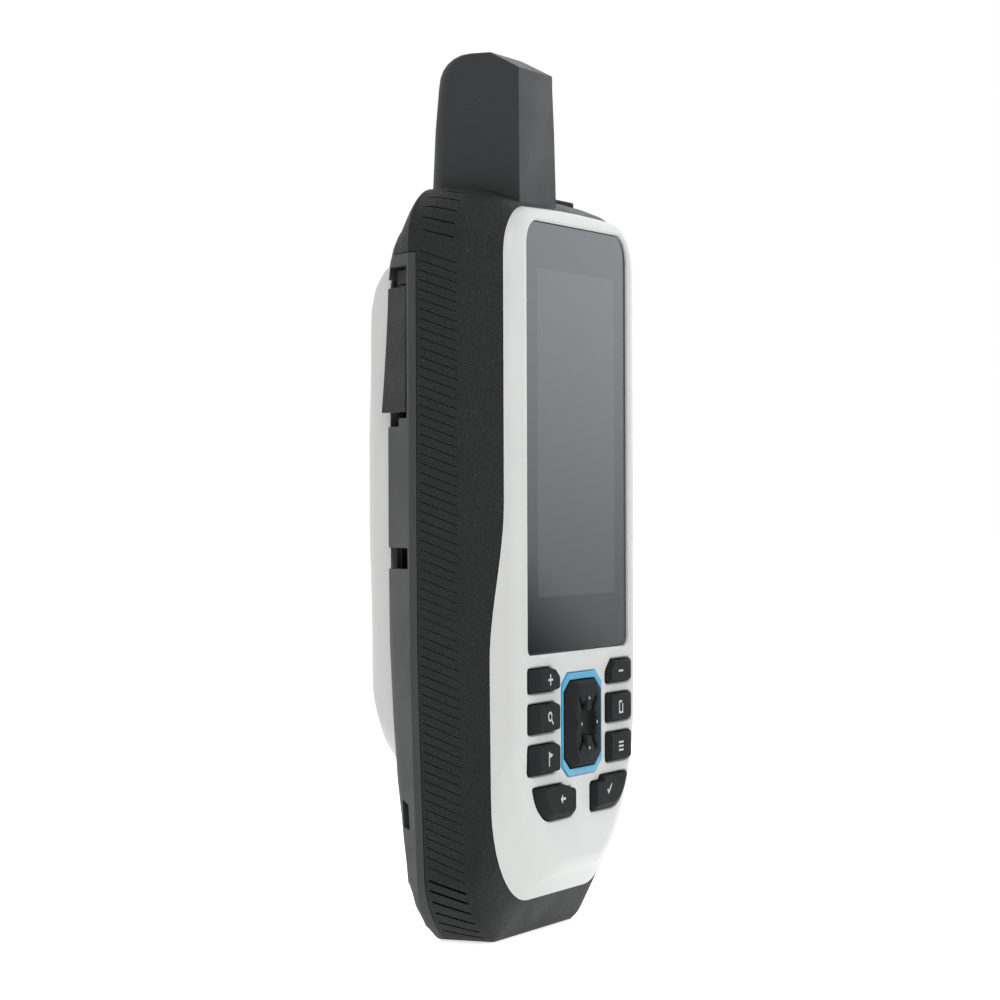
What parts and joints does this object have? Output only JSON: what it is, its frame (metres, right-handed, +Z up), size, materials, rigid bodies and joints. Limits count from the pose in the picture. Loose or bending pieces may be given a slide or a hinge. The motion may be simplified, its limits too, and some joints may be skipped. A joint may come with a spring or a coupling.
{
  "type": "handheld navigation receiver",
  "caption": "Rugged handheld satellite navigation receiver with a stub antenna, a tall display, a keypad with a four-way rocker and a flap over its data port.",
  "frame": {"origin": "middle of the base, under the middle of the whole box", "axes": "+Z up to the tip of the antenna, -Y towards the display side, +X to the right of a person facing the display"},
  "size_m": [0.0678, 0.044, 0.178],
  "materials": {
    "white_shell": "satin moulded",
    "grip_rubber": "grained, with engraved grooves",
    "housing_black": "fine spark-eroded grain",
    "strip_grey": "satin moulded",
    "key_rubber": "soft matt, printed symbols",
    "window_glass": "polished",
    "lcd_stack": "semi-gloss",
    "ring_blue": "satin",
    "seal_rubber": "matt",
    "silicone": "translucent matt",
    "circuit_board": "solder mask",
    "chip_black": "moulded",
    "bright_steel": "plated",
    "copper": "plated copper",
    "flex_amber": "polyimide film",
    "carrier_plastic": "moulded",
    "battery_sleeve": "foil pouch",
    "foam": "open foam"
  },
  "bodies": {
    "housing": {"front_cover": "white_shell", "display_window": "window_glass", "window_gasket": "seal_rubber", "lcd_panel": "lcd_stack", "lcd_tray": "bright_steel", "display_flex": "flex_amber", "keypad_ring": "ring_blue", "keypad_membrane": "silicone", "dome_sheet": "bright_steel", "main_board": "circuit_board", "board_chips": "chip_black", "shield_cans": "bright_steel", "board_screws": "bright_steel", "front_screws": "bright_steel", "grip_frame": "grip_rubber", "perimeter_seal": "seal_rubber", "rear_cover": "strip_grey", "back_shell": "white_shell", "back_seal": "seal_rubber", "mount_spine": "housing_black", "rear_screws": "bright_steel", "cap_tether": "grip_rubber", "usb_connector": "bright_steel", "port_board": "circuit_board", "port_flex": "flex_amber", "battery_pack": "battery_sleeve", "battery_pad": "foam", "battery_plug": "carrier_plastic", "buzzer": "copper", "vent_membrane": "carrier_plastic", "antenna_cover": "housing_black", "antenna_core": "carrier_plastic", "antenna_element": "copper", "antenna_seal": "seal_rubber", "antenna_lead": "carrier_plastic", "power_seal": "silicone", "power_switch": "bright_steel"},
    "key_zoom_in_body": {"key_zoom_in": "key_rubber"},
    "key_zoom_out_body": {"key_zoom_out": "key_rubber"},
    "key_find_body": {"key_find": "key_rubber"},
    "key_page_body": {"key_page": "key_rubber"},
    "key_mark_body": {"key_mark": "key_rubber"},
    "key_menu_body": {"key_menu": "key_rubber"},
    "key_quit_body": {"key_quit": "key_rubber"},
    "key_enter_body": {"key_enter": "key_rubber"},
    "power_key_body": {"power_key": "key_rubber"},
    "rocker_pad_body": {"rocker_pad": "key_rubber"},
    "rocker_pivot_body": {"rocker_pivot": "bright_steel"},
    "weather_cap_body": {"weather_cap": "grip_rubber"}
  },
  "joints": [
    {"name": "key_zoom_in_press", "type": "slide", "parent": "housing", "child": "key_zoom_in_body", "axis": [0, 1, 0], "range_m": [0, 0.0006], "stiffness_N_per_m": 1500, "springref_m": -0.0002},
    {"name": "key_zoom_out_press", "type": "slide", "parent": "housing", "child": "key_zoom_out_body", "axis": [0, 1, 0], "range_m": [0, 0.0006], "stiffness_N_per_m": 1500, "springref_m": -0.0002},
    {"name": "key_find_press", "type": "slide", "parent": "housing", "child": "key_find_body", "axis": [0, 1, 0], "range_m": [0, 0.0006], "stiffness_N_per_m": 1500, "springref_m": -0.0002},
    {"name": "key_page_press", "type": "slide", "parent": "housing", "child": "key_page_body", "axis": [0, 1, 0], "range_m": [0, 0.0006], "stiffness_N_per_m": 1500, "springref_m": -0.0002},
    {"name": "key_mark_press", "type": "slide", "parent": "housing", "child": "key_mark_body", "axis": [0, 1, 0], "range_m": [0, 0.0006], "stiffness_N_per_m": 1500, "springref_m": -0.0002},
    {"name": "key_menu_press", "type": "slide", "parent": "housing", "child": "key_menu_body", "axis": [0, 1, 0], "range_m": [0, 0.0006], "stiffness_N_per_m": 1500, "springref_m": -0.0002},
    {"name": "key_quit_press", "type": "slide", "parent": "housing", "child": "key_quit_body", "axis": [0, 1, 0], "range_m": [0, 0.0006], "stiffness_N_per_m": 1500, "springref_m": -0.0002},
    {"name": "key_enter_press", "type": "slide", "parent": "housing", "child": "key_enter_body", "axis": [0, 1, 0], "range_m": [0, 0.0006], "stiffness_N_per_m": 1500, "springref_m": -0.0002},
    {"name": "power_press", "type": "slide", "parent": "housing", "child": "power_key_body", "axis": [0, 0, -1], "range_m": [0, 0.0005], "stiffness_N_per_m": 1500, "springref_m": -0.0003},
    {"name": "rocker_up_down", "type": "hinge", "parent": "housing", "child": "rocker_pivot_body", "pos_m": [0, -0.0172, 0.04295], "axis": [1, 0, 0], "range_deg": [-2.5, 2.5], "stiffness_Nm_per_rad": 0.4},
    {"name": "rocker_left_right", "type": "hinge", "parent": "rocker_pivot_body", "child": "rocker_pad_body", "pos_m": [0, -0.0172, 0.04295], "axis": [0, 0, 1], "range_deg": [-2.5, 2.5], "stiffness_Nm_per_rad": 0.4},
    {"name": "cap_hinge", "type": "hinge", "parent": "housing", "child": "weather_cap_body", "pos_m": [-0.03255, 0.00211, 0.13015], "axis": [0.6585, 0.7526, 0], "range_deg": [-2, 115]}
  ]
}
